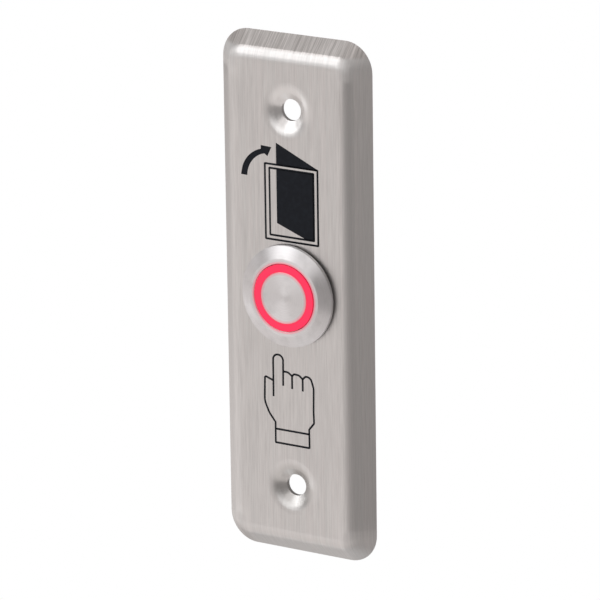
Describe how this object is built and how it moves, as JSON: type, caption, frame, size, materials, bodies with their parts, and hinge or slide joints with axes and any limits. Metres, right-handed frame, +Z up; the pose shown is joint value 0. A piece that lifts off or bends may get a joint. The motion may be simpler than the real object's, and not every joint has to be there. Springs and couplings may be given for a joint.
{
  "type": "door exit button",
  "caption": "Slim pressed stainless wall plate with a ring-lit push switch in its middle, dimpled screw holes above and below, and printed signs, for releasing a door.",
  "frame": {"origin": "middle of the screw pattern, on the wall plane that the plate's rim lies on", "axes": "+Z up, front faces -Y, +Y into the wall, +X to the viewer's right"},
  "size_m": [0.037, 0.0256, 0.115],
  "materials": {
    "plate_steel": "brushed stainless sheet, vertical grain",
    "switch_steel": "turned stainless, satin",
    "nut_metal": "nickel-plated brass, satin",
    "seal_rubber": "black rubber",
    "light_guide": "translucent light guide, lit red",
    "black_plastic": "black glass-filled polyester",
    "plunger_plastic": "natural acetal",
    "spring_steel": "stainless spring wire",
    "board": "white circuit board",
    "lamp_chip": "lamp chips",
    "resistor_black": "chip resistor",
    "terminal_metal": "silver-plated brass strip",
    "contact_silver": "silver alloy"
  },
  "bodies": {
    "plate": {"faceplate": "plate_steel", "switch_housing": "switch_steel", "panel_seal": "seal_rubber", "hex_nut": "nut_metal", "return_spring": "spring_steel", "led_board": "board", "led_chips": "lamp_chip", "led_resistor": "resistor_black", "contact_block": "black_plastic", "terminal_base": "black_plastic", "terminal_common": "terminal_metal", "terminal_normally_open": "terminal_metal", "terminal_normally_closed": "terminal_metal", "terminal_led_plus": "terminal_metal", "terminal_led_minus": "terminal_metal", "fixed_contact_rivets": "contact_silver", "contact_spring": "spring_steel"},
    "button": {"button_cap": "switch_steel", "light_ring": "light_guide", "plunger": "plunger_plastic", "plunger_seal": "seal_rubber"},
    "arm": {"contact_arm": "terminal_metal", "moving_contact_rivet": "contact_silver"}
  },
  "joints": [
    {"name": "button_press", "type": "slide", "parent": "plate", "child": "button", "axis": [0, 1, 0], "range_m": [0, 0.0015], "stiffness_N_per_m": 600, "springref_m": -0.002, "deforming": ["return_spring"]},
    {"name": "contact_rock", "type": "hinge", "parent": "plate", "child": "arm", "pos_m": [-0.005, 0.0068, 0.0014], "axis": [0, 0, 1], "range_deg": [0, 17.01], "deforming": ["contact_spring"]}
  ],
  "couplings": [
    {"joint": "contact_rock", "follows": "button_press", "rad_per_m": 197.8}
  ]
}
